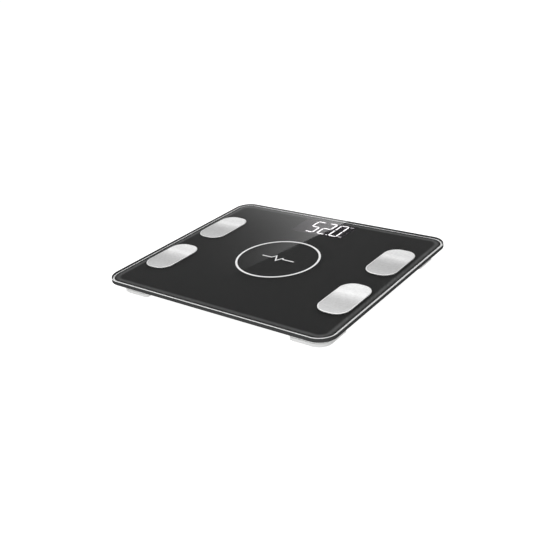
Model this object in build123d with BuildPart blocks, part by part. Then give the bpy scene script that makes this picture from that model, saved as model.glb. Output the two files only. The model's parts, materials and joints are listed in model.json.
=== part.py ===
"""A glass-topped digital bathroom scale, made as the separate pieces it is assembled from.

Millimetres. +X is the user's right, +Y points to the display edge, and +Z is up.
The origin lies on the floor, under the middle of the platform.
"""
from build123d import *

import os

# Glass platform and the ink under it
PLATFORM_WIDTH = 300.0
PLATFORM_DEPTH = 260.0
PLATFORM_CORNER = 19.5
GLASS_THICKNESS = 5.0
GLASS_BOTTOM = 14.5
ARRIS = 0.5
PRINT_THICKNESS = 0.2
STRIPE_INSET = 2.5
STRIPE_WIDTH = 1.6
STRIPE_THICKNESS = 0.1
TAPE_THICKNESS = 0.4
STUD_HOLE_RADIUS = 2.6

# Silver ring and centre mark, printed on top of the glass
RING_RADIUS = 47.8
RING_WIDTH = 2.4
TOP_PRINT_THICKNESS = 0.06
MARK_STROKE = 1.5
MARK_POINTS = [(-22, 0), (-9, 0), (-5.5, 5.5), (0.5, -5.5), (5, 2.5), (7.5, 0), (22, 0)]

# Foot electrodes
ELECTRODE_WIDTH = 37.0
ELECTRODE_LENGTH = 67.4
ELECTRODE_CORNER = 15.5
ELECTRODE_THICKNESS = 0.5
ELECTRODE_TAPE = 0.1
ELECTRODE_X = 119.6
ELECTRODE_Y = 47.8
ELECTRODE_SHIFT_Y = -1.3
STUD_RADIUS = 1.5
STUD_LENGTH = 8.7
TERMINAL_THICKNESS = 0.5
BARREL_START = 4.2
BARREL_END = 8.7
BARREL_WALL = 0.45
BARREL_SOLID = 1.0
TERMINAL_RADIUS = 3.7
TERMINAL_GAP = 0.1
NUT_RADIUS = 3.1
NUT_THICKNESS = 2.4
THREAD_GAP = 0.02

# Display
DISPLAY_X = -2.4
DISPLAY_Y = 100.3
WINDOW_WIDTH = 73.0
WINDOW_DEPTH = 41.0
REFLECTOR_MARGIN = 1.0
DIGIT_WIDTH = 12.6
DIGIT_HEIGHT = 33.4
DIGIT_PITCH = 16.8
DIGITS_SHIFT_X = 4.2
DIGITS_SHIFT_Y = 0.6
DIGIT_STROKE = 2.1
SEGMENT_GAP = 0.25
SEGMENT_DEPTH = 1.0
DIGIT_SEGMENTS = {"8": "ABCDEFG", "5": "AFGCD", "2": "ABGED", "0": "ABCDEF", "1": "BC", " ": ""}
SHOWN = " 520"
AVAILABLE = "1888"
DOT_RADIUS = 1.0
UNIT_MARK = (4.6, 1.8)
UNIT_MARK_GAP = 1.4

# Corner modules: bracket, load cell, foot and pad
MODULE_SIZE = 42.0
MODULE_X = 118.0
MODULE_Y = 97.6
MODULE_OUTER_CORNER = 15.0
MODULE_CORNER = 4.0
MODULE_WALL = 1.8
BRACKET_BOTTOM = 5.6
BRACKET_PLATE = 1.4
FOOT_BOTTOM = 0.8
FOOT_RIM = 5.0
FOOT_FLOOR = 2.0
FOOT_EDGE = 0.5
SKIRT_TOP = 6.2
SKIRT_GAP = 0.3
SKIRT_WALL = 1.0
PAD_INSET = 4.0
PAD_RECESS = 1.0
PAD_EDGE = 0.3
BRACKET_TAPE_INSET = 2.0
CELL_SIZE = 32.0
CELL_CORNER = 3.0
CELL_BOTTOM = 8.6
CELL_THICKNESS = 2.0
CELL_OPENING = 24.0
TONGUE_WIDTH = 8.0
TONGUE_HEAD = 13.0
TONGUE_OVERLAP = 1.0
BOSS_RADIUS = 4.0
BOSS_RIB = (12.0, 1.2)
RAIL_WIDTH = 3.0
HOOK_WIDTH = 8.0
HOOK_ARM = 1.2
HOOK_GAP = 0.2
HOOK_SIDE_GAP = 0.5
RIB_DEPTH = 0.8
RIB_BOTTOM = 6.8
RIB_HEIGHT = 1.0
BARB_BOTTOM = 8.4
BARB_DEPTH = 0.7
SOLDER_BLOCK = (3.0, 6.0)
WIRE_GATE = (15.6, 6.6)

# Electronics tray, glued under the display end of the platform
TRAY_WIDTH = 120.0
TRAY_FRONT = 18.0
TRAY_BACK = 123.5
TRAY_CORNER = 6.0
TRAY_WALL = 2.0
TRAY_BOTTOM = 2.0
TRAY_FLOOR = 2.4
TRAY_EDGE = 1.0
TRAY_TAPE_INSET = 0.2

# Battery bay: three AAA cells side by side, along X
CELL_COUNT = 3
BATTERY_RADIUS = 5.25
BATTERY_LENGTH = 44.5
BATTERY_NUB_RADIUS = 1.9
BATTERY_NUB = 1.0
BATTERY_EDGE = 0.4
BATTERY_PITCH = 11.3
BATTERY_Z = 8.65
SPRING_LENGTH = 3.9
SPRING_RADIUS = 3.6
SPRING_WIRE = 0.6
SPRING_TAPER = 12
CONTACT_THICKNESS = 0.4
CONTACT_SIZE = 8.5
TAB_WIDTH = 2.0
TAB_REACH = 2.0
TAB_GAP = 0.2
BAY_HALF_LENGTH = (BATTERY_LENGTH + SPRING_LENGTH + 2 * CONTACT_THICKNESS) / 2
BAY_DEPTH = 38.4
BAY_WALL = 1.4
BAY_TOP_GAP = 0.6
DOOR_LAP = 1.8
DOOR_PLATE = 1.2
DOOR_CLEARANCE = 0.2
TONGUE_BOTTOM = 2.9
TONGUE_TOP = 3.6
TONGUE_CLEARANCE = 0.1
GRIP_COUNT = 5
GRIP_START = 6.0
GRIP_PITCH = 2.2
GRIP_SIZE = (20.0, 1.1)
GRIP_DEPTH = 0.5
DOOR_RAIL = 1.0
DOOR_LIP_GAP = 0.3

# Circuit board and what it carries
BOARD_WIDTH = 100.0
BOARD_FRONT = 76.0
BOARD_BACK = 121.0
BOARD_BOTTOM = 8.0
BOARD_THICKNESS = 1.2
BOARD_CORNER = 2.0
SCREW_X = 46.0
SCREW_Y = (79.5, 116.5)
SCREW_RADIUS = 1.0
SCREW_HEAD_RADIUS = 2.0
SCREW_HEAD = 1.3
SCREW_LENGTH = 4.0
SCREW_BOSS_RADIUS = 2.6
SCREW_SLOT = (2.4, 0.5)
SCREW_SLOT_DEPTH = 0.6
SCREW_EDGE = 0.5
PILOT_GAP = 0.03
PILOT_SPARE = 0.2
BOARD_HOLE_GAP = 0.2
CONNECTOR_WIDTH = 7.0
CONNECTOR_FRONT = 83.5
CONNECTOR_BACK = 100.5
CONNECTOR_HEIGHT = 4.6
CONNECTOR_EDGE = 0.4
CHIP_POINT = (-10.0, 100.0)
CHIP_SIZE = 10.0
CHIP_HEIGHT = 1.4
CHIP_LEADS = 11
LEAD_PITCH = 0.8
LEAD_WIDTH = 0.35
LEAD_REACH = 1.0
LEAD_THICKNESS = 0.3
RADIO_POINT = (-34.0, 98.0)
RADIO_SIZE = (12.0, 18.0)
RADIO_BASE = 0.8
SHIELD_SIZE = (10.5, 12.0)
SHIELD_SHIFT = -2.5
SHIELD_HEIGHT = 1.5
SHIELD_CORNER = 0.6
BUTTON_X = 24.0
BUTTON_Y = 100.0
BUTTON_RADIUS = 4.0
BUTTON_FLANGE = 5.3
BUTTON_HOLE_GAP = 0.2
BUTTON_RECESS = 0.2
FLANGE_THICKNESS = 0.6
FLANGE_GAP = 0.1
BUTTON_EDGE = 0.5
SWITCH_SIZE = 6.0
SWITCH_BODY = 1.8
SWITCH_PLUNGER = 0.4
PLUNGER_RADIUS = 1.5

# Wiring
STRAND_RADIUS = 0.55
STRAND_PITCH = 1.3
STRAND_CLEARANCE = 0.25
ELECTRODE_WIRE_START = 5.2
WIRE_BEND = 8.0
CELL_WIRE_Z = 11.8
ELECTRODE_WIRE_Z = 13.2
DUCT_X = 76.0
DUCT_WIDTH = 11.0
DUCT_WALL = 1.0
DUCT_BOTTOM = 10.2
DUCT_TURN_Y = 88.0
DUCT_END_GAP = 1.0

# Levels that follow from the sizes above
GLASS_TOP = GLASS_BOTTOM + GLASS_THICKNESS
PRINT_BOTTOM = GLASS_BOTTOM - PRINT_THICKNESS
TAPE_BOTTOM = PRINT_BOTTOM - TAPE_THICKNESS
PLATE_BOTTOM = TAPE_BOTTOM - BRACKET_PLATE
CELL_TOP = CELL_BOTTOM + CELL_THICKNESS
TRAY_TOP = TAPE_BOTTOM
TRAY_FLOOR_TOP = TRAY_BOTTOM + TRAY_FLOOR
BOARD_TOP = BOARD_BOTTOM + BOARD_THICKNESS
TRAY_MIDDLE_Y = (TRAY_FRONT + TRAY_BACK) / 2
BAY_FRONT = TRAY_FRONT + TRAY_WALL
BAY_MIDDLE_Y = BAY_FRONT + BAY_DEPTH / 2
BATTERY_YS = [BAY_MIDDLE_Y + BATTERY_PITCH * (i - 1) for i in range(CELL_COUNT)]
MODULE_HALF = MODULE_SIZE / 2
DOOR_HALF_WIDTH = BAY_HALF_LENGTH + DOOR_LAP
SLOT_HALF_WIDTH = DOOR_HALF_WIDTH + DOOR_LAP
DOOR_BACK = BAY_FRONT + BAY_DEPTH + DOOR_LAP

SCREW_POINTS = [(side * SCREW_X, y) for side in (-1, 1) for y in SCREW_Y]

SIDES = {"left": -1, "right": 1}
ENDS = {"front": -1, "back": 1}
CORNERS = {f"{e}_{s}": (SIDES[s], ENDS[e]) for e in ENDS for s in SIDES}
STUD_POINTS = [(sx * ELECTRODE_X, sy * ELECTRODE_Y) for sx, sy in CORNERS.values()]


def save(builder, name):
    """Label a finished piece and write it as its own STEP file."""
    builder.part.label = name
    export_step(builder.part, f"parts/{name}.step")


# ---- platform -------------------------------------------------------------------------------

def platform_outline(inset):
    """The platform's rounded rectangle, moved in from its edge, in the current sketch."""
    RectangleRounded(
        PLATFORM_WIDTH - 2 * inset, PLATFORM_DEPTH - 2 * inset, PLATFORM_CORNER - inset
    )


def stripe_sketch(level):
    """The thin silver loop that runs just inside the platform's edge."""
    with BuildSketch(Plane.XY.offset(level)) as stripe:
        platform_outline(STRIPE_INSET - STRIPE_WIDTH / 2)
        with BuildSketch(mode=Mode.SUBTRACT):
            platform_outline(STRIPE_INSET + STRIPE_WIDTH / 2)
    return stripe.sketch


def make_glass_platform():
    with BuildPart() as glass:
        with BuildSketch(Plane.XY.offset(GLASS_BOTTOM)):
            platform_outline(0)
        extrude(amount=GLASS_THICKNESS)
        rims = glass.edges().group_by(Axis.Z)
        chamfer(rims[0] + rims[-1], ARRIS)
        with Locations(*[(x, y, GLASS_TOP) for x, y in STUD_POINTS]):
            Hole(STUD_HOLE_RADIUS, GLASS_THICKNESS)
    save(glass, "glass_platform")


def make_back_print():
    with BuildPart() as back_print:
        with BuildSketch(Plane.XY.offset(PRINT_BOTTOM)):
            platform_outline(ARRIS)
            with Locations((DISPLAY_X, DISPLAY_Y)):
                Rectangle(WINDOW_WIDTH, WINDOW_DEPTH, mode=Mode.SUBTRACT)
            with Locations(*STUD_POINTS):
                Circle(STUD_HOLE_RADIUS, mode=Mode.SUBTRACT)
        extrude(amount=PRINT_THICKNESS)
        extrude(
            stripe_sketch(GLASS_BOTTOM - STRIPE_THICKNESS),
            amount=STRIPE_THICKNESS,
            mode=Mode.SUBTRACT,
        )
    save(back_print, "back_print")


def make_border_stripe():
    with BuildPart() as stripe:
        extrude(stripe_sketch(GLASS_BOTTOM - STRIPE_THICKNESS), amount=STRIPE_THICKNESS)
    save(stripe, "border_stripe")


def make_printed_ring():
    with BuildPart() as ring:
        with BuildSketch(Plane.XY.offset(GLASS_TOP)):
            Circle(RING_RADIUS + RING_WIDTH / 2)
            Circle(RING_RADIUS - RING_WIDTH / 2, mode=Mode.SUBTRACT)
        extrude(amount=TOP_PRINT_THICKNESS)
    save(ring, "printed_ring")


def make_pulse_mark():
    """A plain pulse line in the middle of the ring."""
    with BuildPart() as mark:
        with BuildSketch(Plane.XY.offset(GLASS_TOP)):
            with BuildLine() as pulse:
                Polyline(*MARK_POINTS)
            trace(pulse.line, MARK_STROKE)
        extrude(amount=TOP_PRINT_THICKNESS)
    save(mark, "pulse_mark")


# ---- electrodes -----------------------------------------------------------------------------

def electrode_outline():
    """The plate's outline round its stud, which is a little off its middle."""
    with Locations((0, ELECTRODE_SHIFT_Y)):
        RectangleRounded(ELECTRODE_WIDTH, ELECTRODE_LENGTH, ELECTRODE_CORNER)


def make_electrode(name, x, y):
    """A pressed steel plate with its threaded stud, which passes through the glass."""
    plate_bottom = GLASS_TOP + ELECTRODE_TAPE
    with BuildPart() as electrode:
        with BuildSketch(Plane.XY.offset(plate_bottom)):
            with Locations((x, y)):
                electrode_outline()
        extrude(amount=ELECTRODE_THICKNESS)
        fillet(electrode.edges().group_by(Axis.Z)[-1], ELECTRODE_THICKNESS / 2)
        with BuildSketch(Plane.XY.offset(plate_bottom)):
            with Locations((x, y)):
                Circle(STUD_RADIUS)
        extrude(amount=-STUD_LENGTH)
    save(electrode, name)


def make_electrode_tapes():
    with BuildPart() as tapes:
        with BuildSketch(Plane.XY.offset(GLASS_TOP)):
            with Locations(*STUD_POINTS):
                electrode_outline()
                Circle(STUD_HOLE_RADIUS, mode=Mode.SUBTRACT)
        extrude(amount=ELECTRODE_TAPE)
    save(tapes, "electrode_tapes")


def make_electrode_terminals():
    """Ring tongues on the studs, each with a barrel that points at the middle."""
    with BuildPart() as terminals:
        with BuildSketch(Plane.XY.offset(PRINT_BOTTOM)):
            with Locations(*STUD_POINTS):
                Circle(TERMINAL_RADIUS)
            for x, y in STUD_POINTS:
                toward = -1 if x > 0 else 1
                with Locations((x + toward * BARREL_START, y)):
                    Rectangle(BARREL_START, 2 * STRAND_PITCH)
            with Locations(*STUD_POINTS):
                Circle(STUD_RADIUS + TERMINAL_GAP, mode=Mode.SUBTRACT)
        extrude(amount=-TERMINAL_THICKNESS)
        for x, y in STUD_POINTS:
            toward = -1 if x > 0 else 1
            start = Plane((x + toward * BARREL_START, y, ELECTRODE_WIRE_Z), z_dir=(toward, 0, 0))
            with BuildSketch(start):
                Circle(STRAND_RADIUS + BARREL_WALL)
            extrude(amount=BARREL_END - BARREL_START)
            with BuildSketch(start.offset(BARREL_SOLID)):
                Circle(STRAND_RADIUS)
            extrude(amount=BARREL_END - BARREL_START, mode=Mode.SUBTRACT)
    save(terminals, "electrode_terminals")


def make_electrode_nuts():
    with BuildPart() as nuts:
        with BuildSketch(Plane.XY.offset(PRINT_BOTTOM - TERMINAL_THICKNESS)):
            with Locations(*STUD_POINTS):
                RegularPolygon(NUT_RADIUS, 6)
                Circle(STUD_RADIUS + THREAD_GAP, mode=Mode.SUBTRACT)
        extrude(amount=-NUT_THICKNESS)
    save(nuts, "electrode_nuts")


# ---- display --------------------------------------------------------------------------------

def segment_places():
    """Each segment's letter, its centre in a digit, its turn in degrees and its length."""
    half_width = (DIGIT_WIDTH - DIGIT_STROKE) / 2
    half_height = (DIGIT_HEIGHT - DIGIT_STROKE) / 2
    across = 2 * half_width
    upright = half_height
    return [
        ("A", (0, half_height), 0, across),
        ("G", (0, 0), 0, across),
        ("D", (0, -half_height), 0, across),
        ("B", (half_width, half_height / 2), 90, upright),
        ("C", (half_width, -half_height / 2), 90, upright),
        ("E", (-half_width, -half_height / 2), 90, upright),
        ("F", (-half_width, half_height / 2), 90, upright),
    ]


def segment_outline(length):
    """A bar with pointed ends, along X, in the current sketch."""
    half = DIGIT_STROKE / 2
    tip = length / 2 - SEGMENT_GAP
    shoulder = tip - half
    Polygon(
        (-tip, 0), (-shoulder, half), (shoulder, half), (tip, 0), (shoulder, -half), (-shoulder, -half)
    )


def digit_x(place):
    """The middle of a digit place: 0 is the leading one, and 3 the last."""
    return DISPLAY_X + DIGITS_SHIFT_X + (place - 2) * DIGIT_PITCH


def digits_sketch(level, lit):
    """The segments that are lit, or else those that are dark, on one level."""
    digits_y = DISPLAY_Y + DIGITS_SHIFT_Y
    with BuildSketch(Plane.XY.offset(level)) as digits:
        for place, (shown, available) in enumerate(zip(SHOWN, AVAILABLE)):
            for letter, (x, y), turn, length in segment_places():
                on = letter in DIGIT_SEGMENTS[shown]
                present = letter in DIGIT_SEGMENTS[available]
                if present and on == lit:
                    with Locations(Location((digit_x(place) + x, digits_y + y), turn)):
                        segment_outline(length)
        if lit:
            dot_x = (digit_x(2) + digit_x(3)) / 2
            mark_x = digit_x(3) + DIGIT_WIDTH / 2 + UNIT_MARK_GAP + UNIT_MARK[0] / 2
            mark_rise = (DIGIT_HEIGHT - DIGIT_STROKE) / 2 - UNIT_MARK[1] / 2
            with Locations((dot_x, digits_y - DIGIT_HEIGHT / 2 + DOT_RADIUS)):
                Circle(DOT_RADIUS)
            with Locations((mark_x, digits_y + mark_rise), (mark_x, digits_y - mark_rise)):
                Rectangle(*UNIT_MARK)
    return digits.sketch


def make_display_filter():
    with BuildPart() as window:
        with BuildSketch(Plane.XY.offset(PRINT_BOTTOM)):
            with Locations((DISPLAY_X, DISPLAY_Y)):
                Rectangle(WINDOW_WIDTH, WINDOW_DEPTH)
        extrude(amount=PRINT_THICKNESS)
    save(window, "display_filter")


def make_display_reflector():
    """The block that stands on the board and holds every segment in a pocket of its own."""
    with BuildPart() as reflector:
        with BuildSketch(Plane.XY.offset(BOARD_TOP)):
            with Locations((DISPLAY_X, DISPLAY_Y)):
                Rectangle(WINDOW_WIDTH - 2 * REFLECTOR_MARGIN, WINDOW_DEPTH - 2 * REFLECTOR_MARGIN)
        extrude(amount=PRINT_BOTTOM - BOARD_TOP)
        for lit in (True, False):
            extrude(digits_sketch(PRINT_BOTTOM, lit), amount=-SEGMENT_DEPTH, mode=Mode.SUBTRACT)
    save(reflector, "display_reflector")


def make_segments(name, lit):
    with BuildPart() as segments:
        extrude(digits_sketch(PRINT_BOTTOM, lit), amount=-SEGMENT_DEPTH)
    save(segments, name)


# ---- corner modules, modelled at the back right corner and mirrored to the others -------------

def module_sketch(level, inset):
    """A module's outline, moved in from its outer face, with its big corner outwards."""
    with BuildSketch(Plane.XY.offset(level)) as outline:
        with Locations((MODULE_X, MODULE_Y)):
            Rectangle(MODULE_SIZE, MODULE_SIZE)
        outward = outline.vertices().sort_by(lambda v: v.X + v.Y)
        fillet(outward[-1], MODULE_OUTER_CORNER)
        inward = outline.vertices().sort_by(lambda v: v.X + v.Y)
        fillet(inward[0], MODULE_CORNER)
        for side in (Axis.X, Axis.Y):
            corner = outline.vertices().group_by(side)[0].sort_by(lambda v: v.X + v.Y)[-1]
            fillet(corner, MODULE_CORNER)
        if inset:
            offset(amount=-inset)
    return outline.sketch


def place_at_corner(builder, side_x, side_y):
    """A copy of a back right piece for the corner on the given sides."""
    with BuildPart() as placed:
        add(builder.part)
        if side_x < 0:
            mirror(about=Plane.YZ, mode=Mode.REPLACE)
        if side_y < 0:
            mirror(about=Plane.XZ, mode=Mode.REPLACE)
    return placed


def hook_plane(side, height):
    """A level plane at the middle of the module's left (-1) or right (+1) inner wall."""
    reach = side * (MODULE_HALF - MODULE_WALL)
    return Plane((MODULE_X + reach, MODULE_Y, height), x_dir=(-side, 0, 0))


def build_bracket():
    """The upper housing: it is glued to the platform and holds the load cell's frame."""
    with BuildPart() as bracket:
        extrude(module_sketch(BRACKET_BOTTOM, 0), amount=TAPE_BOTTOM - BRACKET_BOTTOM)
        extrude(
            module_sketch(BRACKET_BOTTOM, MODULE_WALL),
            amount=PLATE_BOTTOM - BRACKET_BOTTOM,
            mode=Mode.SUBTRACT,
        )
        with BuildSketch(Plane.XY.offset(PLATE_BOTTOM)):
            with Locations((MODULE_X, MODULE_Y)):
                Rectangle(CELL_SIZE, CELL_SIZE)
                Rectangle(CELL_SIZE - 2 * RAIL_WIDTH, CELL_SIZE - 2 * RAIL_WIDTH, mode=Mode.SUBTRACT)
        extrude(amount=CELL_TOP - PLATE_BOTTOM)
        for side in (-1, 1):
            with BuildSketch(hook_plane(side, RIB_BOTTOM)):
                Rectangle(2 * RIB_DEPTH, HOOK_WIDTH)
            extrude(amount=RIB_HEIGHT)
        wire_gap = (MODULE_X - MODULE_HALF + SOLDER_BLOCK[0], MODULE_Y, CELL_TOP)
        with BuildSketch(Plane(wire_gap)):
            Rectangle(*WIRE_GATE)
        extrude(amount=PLATE_BOTTOM - CELL_TOP, mode=Mode.SUBTRACT)
    return bracket


def build_load_cell():
    """A stamped steel plate: an outer frame and a tongue that the foot bends upwards."""
    with BuildPart() as cell:
        with BuildSketch(Plane.XY.offset(CELL_BOTTOM)):
            with Locations((MODULE_X, MODULE_Y)):
                RectangleRounded(CELL_SIZE, CELL_SIZE, CELL_CORNER)
                RectangleRounded(CELL_OPENING, CELL_OPENING, CELL_CORNER, mode=Mode.SUBTRACT)
                RectangleRounded(TONGUE_HEAD, TONGUE_HEAD, CELL_CORNER)
            with Locations((MODULE_X, MODULE_Y + CELL_OPENING / 4)):
                Rectangle(TONGUE_WIDTH, CELL_OPENING / 2 + TONGUE_OVERLAP)
        extrude(amount=CELL_THICKNESS)
        block_x = MODULE_X - CELL_SIZE / 2 + SOLDER_BLOCK[0] / 2
        with BuildSketch(Plane((block_x, MODULE_Y, CELL_TOP))):
            Rectangle(*SOLDER_BLOCK)
        extrude(amount=CELL_WIRE_Z + STRAND_RADIUS - CELL_TOP)
    return cell


def build_foot():
    """The lower cap: it moves up and down in the bracket and bears on the load cell's tongue."""
    arm_top = BARB_BOTTOM + RIB_HEIGHT
    floor_top = FOOT_BOTTOM + FOOT_FLOOR
    skirt_inset = MODULE_WALL + SKIRT_GAP
    arm_x = RIB_DEPTH + HOOK_GAP + HOOK_ARM / 2
    with BuildPart() as foot:
        extrude(module_sketch(FOOT_BOTTOM, 0), amount=FOOT_RIM - FOOT_BOTTOM)
        chamfer(foot.edges().group_by(Axis.Z)[0], FOOT_EDGE)
        extrude(module_sketch(FOOT_RIM, skirt_inset), amount=SKIRT_TOP - FOOT_RIM)
        extrude(
            module_sketch(floor_top, skirt_inset + SKIRT_WALL),
            amount=SKIRT_TOP - floor_top,
            mode=Mode.SUBTRACT,
        )
        extrude(module_sketch(FOOT_BOTTOM, PAD_INSET), amount=PAD_RECESS, mode=Mode.SUBTRACT)
        with BuildSketch(Plane((MODULE_X, MODULE_Y, floor_top))):
            Circle(BOSS_RADIUS)
            with PolarLocations(0, 2, start_angle=45):
                Rectangle(*BOSS_RIB)
        extrude(amount=SKIRT_TOP - floor_top)
        with BuildSketch(Plane((MODULE_X, MODULE_Y, SKIRT_TOP))):
            Circle(BOSS_RADIUS)
        extrude(amount=CELL_BOTTOM - SKIRT_TOP)
        for side in (-1, 1):
            with BuildSketch(hook_plane(side, floor_top)):
                with Locations((arm_x, 0)):
                    Rectangle(HOOK_ARM, HOOK_WIDTH - 2 * HOOK_SIDE_GAP)
            extrude(amount=arm_top - floor_top)
            with BuildSketch(hook_plane(side, BARB_BOTTOM)):
                with Locations((arm_x - BARB_DEPTH / 2, 0)):
                    Rectangle(HOOK_ARM + BARB_DEPTH, HOOK_WIDTH - 2 * HOOK_SIDE_GAP)
            extrude(amount=RIB_HEIGHT)
    return foot


def build_foot_pad():
    with BuildPart() as pad:
        extrude(module_sketch(0, PAD_INSET), amount=FOOT_BOTTOM + PAD_RECESS)
        chamfer(pad.edges().group_by(Axis.Z)[0], PAD_EDGE)
    return pad


def make_corner_modules():
    pieces = {
        "load_cell_bracket": build_bracket(),
        "load_cell": build_load_cell(),
        "foot": build_foot(),
        "foot_pad": build_foot_pad(),
    }
    for corner, (side_x, side_y) in CORNERS.items():
        for name, piece in pieces.items():
            save(place_at_corner(piece, side_x, side_y), f"{name}_{corner}")


def make_bracket_tapes():
    with BuildPart() as tapes:
        extrude(module_sketch(TAPE_BOTTOM, BRACKET_TAPE_INSET), amount=TAPE_THICKNESS)
        mirror(about=Plane.YZ)
        mirror(about=Plane.XZ)
    save(tapes, "bracket_tapes")


# ---- electronics tray and battery door ----------------------------------------------------------

def tray_sketch(level, inset):
    with BuildSketch(Plane((0, TRAY_MIDDLE_Y, level))) as outline:
        RectangleRounded(
            TRAY_WIDTH - 2 * inset, TRAY_BACK - TRAY_FRONT - 2 * inset, TRAY_CORNER - inset
        )
    return outline.sketch


def box_sketch(level, x_range, y_range):
    """A rectangle between two x values and two y values, on one level."""
    x0, x1 = x_range
    y0, y1 = y_range
    with BuildSketch(Plane(((x0 + x1) / 2, (y0 + y1) / 2, level))) as box:
        Rectangle(x1 - x0, y1 - y0)
    return box.sketch


def make_electronics_tray():
    bay_back = BAY_FRONT + BAY_DEPTH
    bay_x = (-BAY_HALF_LENGTH, BAY_HALF_LENGTH)
    wall_x = (-BAY_HALF_LENGTH - BAY_WALL, BAY_HALF_LENGTH + BAY_WALL)
    slot_back = DOOR_BACK + DOOR_CLEARANCE
    plate_slot = (-DOOR_HALF_WIDTH - DOOR_CLEARANCE, DOOR_HALF_WIDTH + DOOR_CLEARANCE)
    tongue_slot = (-SLOT_HALF_WIDTH - DOOR_CLEARANCE, SLOT_HALF_WIDTH + DOOR_CLEARANCE)
    slot_top = TONGUE_TOP + TONGUE_CLEARANCE
    slot_bottom = TONGUE_BOTTOM - TONGUE_CLEARANCE
    tab_half = TAB_WIDTH / 2 + TAB_GAP
    with BuildPart() as tray:
        extrude(tray_sketch(TRAY_BOTTOM, 0), amount=TRAY_TOP - TRAY_BOTTOM)
        fillet(tray.edges().group_by(Axis.Z)[0], TRAY_EDGE)
        extrude(
            tray_sketch(TRAY_FLOOR_TOP, TRAY_WALL), amount=TRAY_TOP - TRAY_FLOOR_TOP, mode=Mode.SUBTRACT
        )
        extrude(
            box_sketch(TRAY_FLOOR_TOP, wall_x, (TRAY_FRONT + TRAY_WALL / 2, bay_back + BAY_WALL)),
            amount=TRAY_TOP - BAY_TOP_GAP - TRAY_FLOOR_TOP,
        )
        with BuildSketch(Plane.XY.offset(TRAY_FLOOR_TOP)):
            with Locations(*SCREW_POINTS):
                Circle(SCREW_BOSS_RADIUS)
        extrude(amount=BOARD_BOTTOM - TRAY_FLOOR_TOP)
        extrude(
            box_sketch(TRAY_BOTTOM, bay_x, (BAY_FRONT, bay_back)),
            amount=TRAY_TOP - TRAY_BOTTOM,
            mode=Mode.SUBTRACT,
        )
        extrude(
            box_sketch(TRAY_BOTTOM, plate_slot, (TRAY_FRONT, slot_back)),
            amount=slot_top - TRAY_BOTTOM,
            mode=Mode.SUBTRACT,
        )
        extrude(
            box_sketch(slot_bottom, tongue_slot, (TRAY_FRONT, slot_back)),
            amount=slot_top - slot_bottom,
            mode=Mode.SUBTRACT,
        )
        with BuildSketch(Plane.XY.offset(BOARD_BOTTOM)):
            with Locations(*SCREW_POINTS):
                Circle(SCREW_RADIUS + PILOT_GAP)
        extrude(amount=-SCREW_LENGTH + BOARD_THICKNESS, mode=Mode.SUBTRACT)
        with BuildSketch(Plane.XY.offset(TRAY_BOTTOM)):
            with Locations((BUTTON_X, BUTTON_Y)):
                Circle(BUTTON_RADIUS + BUTTON_HOLE_GAP)
        extrude(amount=TRAY_FLOOR, mode=Mode.SUBTRACT)
        gate_bottom = CELL_WIRE_Z - STRAND_RADIUS - STRAND_CLEARANCE
        extrude(
            box_sketch(gate_bottom, (-TRAY_WIDTH, TRAY_WIDTH), (CONNECTOR_FRONT, CONNECTOR_BACK)),
            amount=TRAY_TOP - gate_bottom,
            mode=Mode.SUBTRACT,
        )
        for index, gate_x in ((0, (0, wall_x[1])), (CELL_COUNT - 1, (wall_x[0], 0))):
            gate_y = (BATTERY_YS[index] - tab_half, BATTERY_YS[index] + tab_half)
            extrude(
                box_sketch(BATTERY_Z - TAB_GAP - CONTACT_THICKNESS / 2, gate_x, gate_y),
                amount=CONTACT_THICKNESS + 2 * TAB_GAP,
                mode=Mode.SUBTRACT,
            )
    save(tray, "electronics_tray")


def make_tray_tape():
    with BuildPart() as tape:
        extrude(tray_sketch(TRAY_TOP, TRAY_TAPE_INSET), amount=TAPE_THICKNESS)
        extrude(
            tray_sketch(TRAY_TOP, TRAY_WALL - TRAY_TAPE_INSET), amount=TAPE_THICKNESS, mode=Mode.SUBTRACT
        )
    save(tape, "tray_tape")


def make_battery_door():
    plate = (-DOOR_HALF_WIDTH, DOOR_HALF_WIDTH)
    tongue = (-SLOT_HALF_WIDTH, SLOT_HALF_WIDTH)
    rail = DOOR_HALF_WIDTH - DOOR_RAIL
    grips = [(0, TRAY_FRONT + GRIP_START + GRIP_PITCH * i) for i in range(GRIP_COUNT)]
    lip_back = TRAY_FRONT + TRAY_WALL - DOOR_LIP_GAP
    with BuildPart() as door:
        extrude(
            box_sketch(TONGUE_BOTTOM, tongue, (TRAY_FRONT, DOOR_BACK)), amount=TONGUE_TOP - TONGUE_BOTTOM
        )
        extrude(
            box_sketch(TRAY_BOTTOM, (-rail, rail), (lip_back, DOOR_BACK)),
            amount=TONGUE_TOP - TRAY_BOTTOM,
            mode=Mode.SUBTRACT,
        )
        extrude(box_sketch(TRAY_BOTTOM, plate, (TRAY_FRONT, DOOR_BACK)), amount=DOOR_PLATE)
        with BuildSketch(Plane.XY.offset(TRAY_BOTTOM)):
            with Locations(*grips):
                SlotOverall(*GRIP_SIZE)
        extrude(amount=GRIP_DEPTH, mode=Mode.SUBTRACT)
    save(door, "battery_door")


# ---- batteries and their contacts -----------------------------------------------------------------

def battery_direction(index):
    """Which way a cell's positive end points along X: -1 for the first and third, +1 between."""
    return 1 if index == 1 else -1


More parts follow.
